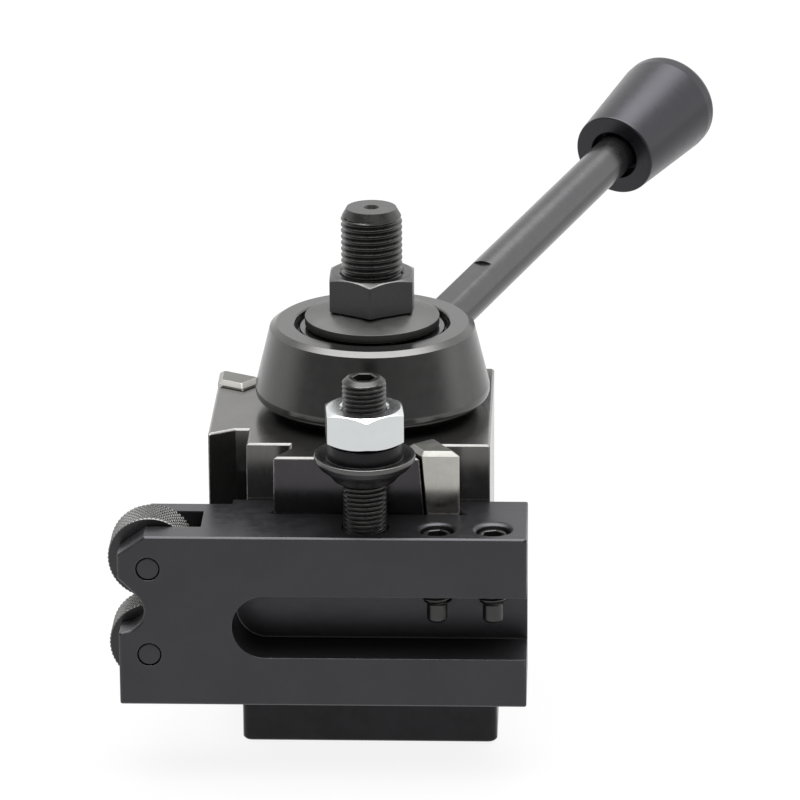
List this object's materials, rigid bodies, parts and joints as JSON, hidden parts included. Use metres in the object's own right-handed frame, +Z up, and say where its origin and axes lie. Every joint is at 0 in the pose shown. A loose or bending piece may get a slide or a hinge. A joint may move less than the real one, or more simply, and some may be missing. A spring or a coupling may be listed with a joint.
{
  "type": "quick change tool post",
  "caption": "Wedge-type quick change tool post on a T-nut, with lever hub and a holder that carries a knurling pair at one end and an open tool slot at the other.",
  "frame": {"origin": "on the centre stud's axis, in the plane of the T-nut's underside, where the post stands on the lathe's compound slide", "axes": "+X along the holder towards the open end of the tool slot, +Y from the holder through the post towards the lever's side, +Z up along the stud"},
  "size_m": [0.1384, 0.1994, 0.1192],
  "materials": {
    "black_oxide": "satin black oxide",
    "turned_steel": "turned",
    "ground_steel": "ground",
    "zinc_plate": "bright zinc plate",
    "knurl_steel": "cut diamond knurl, dull"
  },
  "bodies": {
    "post": {"t_nut": "black_oxide", "post_body": "black_oxide", "centre_bushing": "turned_steel", "bushing_screw_1": "black_oxide", "bushing_screw_2": "black_oxide", "bushing_screw_3": "black_oxide", "hub_thrust_washer": "turned_steel", "hub_snap_ring": "black_oxide", "clamp_washer": "black_oxide", "centre_stud": "black_oxide"},
    "stud_nut": {"stud_nut": "black_oxide"},
    "handle": {"handle_hub": "black_oxide", "hub_drive_pin_1": "turned_steel", "hub_drive_pin_2": "turned_steel", "lever_rod": "black_oxide", "lever_knob": "black_oxide"},
    "cam": {"cam_sleeve": "turned_steel"},
    "front_gib": {"front_gib": "ground_steel"},
    "side_gib": {"side_gib": "ground_steel"},
    "holder": {"holder_body": "black_oxide", "wheel_pin_lower": "black_oxide", "wheel_pin_upper": "black_oxide", "height_stud": "black_oxide"},
    "lower_wheel": {"knurl_wheel_lower": "knurl_steel"},
    "upper_wheel": {"knurl_wheel_upper": "knurl_steel"},
    "tool_screw_1": {"tool_screw_1": "black_oxide"},
    "tool_screw_2": {"tool_screw_2": "black_oxide"},
    "height_nut": {"height_nut": "black_oxide"},
    "lock_nut": {"height_lock_nut": "zinc_plate"}
  },
  "joints": [
    {"name": "lever_turn", "type": "hinge", "parent": "post", "child": "handle", "pos_m": [0, 0, 0.08], "axis": [0, 0, 1], "range_deg": [-60, 90]},
    {"name": "cam_lift", "type": "slide", "parent": "handle", "child": "cam", "axis": [0, 0, 1], "range_m": [-0.0022, 0.0032]},
    {"name": "front_gib_slide", "type": "slide", "parent": "post", "child": "front_gib", "axis": [-0.0778, 0, 0.997], "range_m": [-0.0022, 0.0032]},
    {"name": "side_gib_slide", "type": "slide", "parent": "post", "child": "side_gib", "axis": [0, -0.0778, 0.997], "range_m": [-0.0022, 0.0032]},
    {"name": "holder_lift", "type": "slide", "parent": "post", "child": "holder", "axis": [0, 0, 1], "range_m": [0, 0.06]},
    {"name": "stud_nut_turn", "type": "hinge", "parent": "post", "child": "stud_nut", "pos_m": [0, 0, 0.1], "axis": [0, 0, 1], "continuous": true},
    {"name": "lower_wheel_spin", "type": "hinge", "parent": "holder", "child": "lower_wheel", "pos_m": [-0.0482, -0.0409, 0.0305], "axis": [0, 1, 0], "continuous": true},
    {"name": "upper_wheel_spin", "type": "hinge", "parent": "holder", "child": "upper_wheel", "pos_m": [-0.0482, -0.0409, 0.0509], "axis": [0, 1, 0], "continuous": true},
    {"name": "tool_screw_1_travel", "type": "slide", "parent": "holder", "child": "tool_screw_1", "axis": [0, 0, 1], "range_m": [-0.006, 0.006]},
    {"name": "tool_screw_2_travel", "type": "slide", "parent": "holder", "child": "tool_screw_2", "axis": [0, 0, 1], "range_m": [-0.006, 0.006]},
    {"name": "height_nut_turn", "type": "hinge", "parent": "holder", "child": "height_nut", "pos_m": [0, -0.0452, 0.075], "axis": [0, 0, 1], "continuous": true},
    {"name": "lock_nut_turn", "type": "hinge", "parent": "holder", "child": "lock_nut", "pos_m": [0, -0.0452, 0.083], "axis": [0, 0, 1], "continuous": true}
  ],
  "couplings": [
    {"joint": "cam_lift", "follows": "lever_turn", "m_per_rad": 0.0019099},
    {"joint": "front_gib_slide", "follows": "lever_turn", "m_per_rad": 0.0019157},
    {"joint": "side_gib_slide", "follows": "lever_turn", "m_per_rad": 0.0019157}
  ]
}
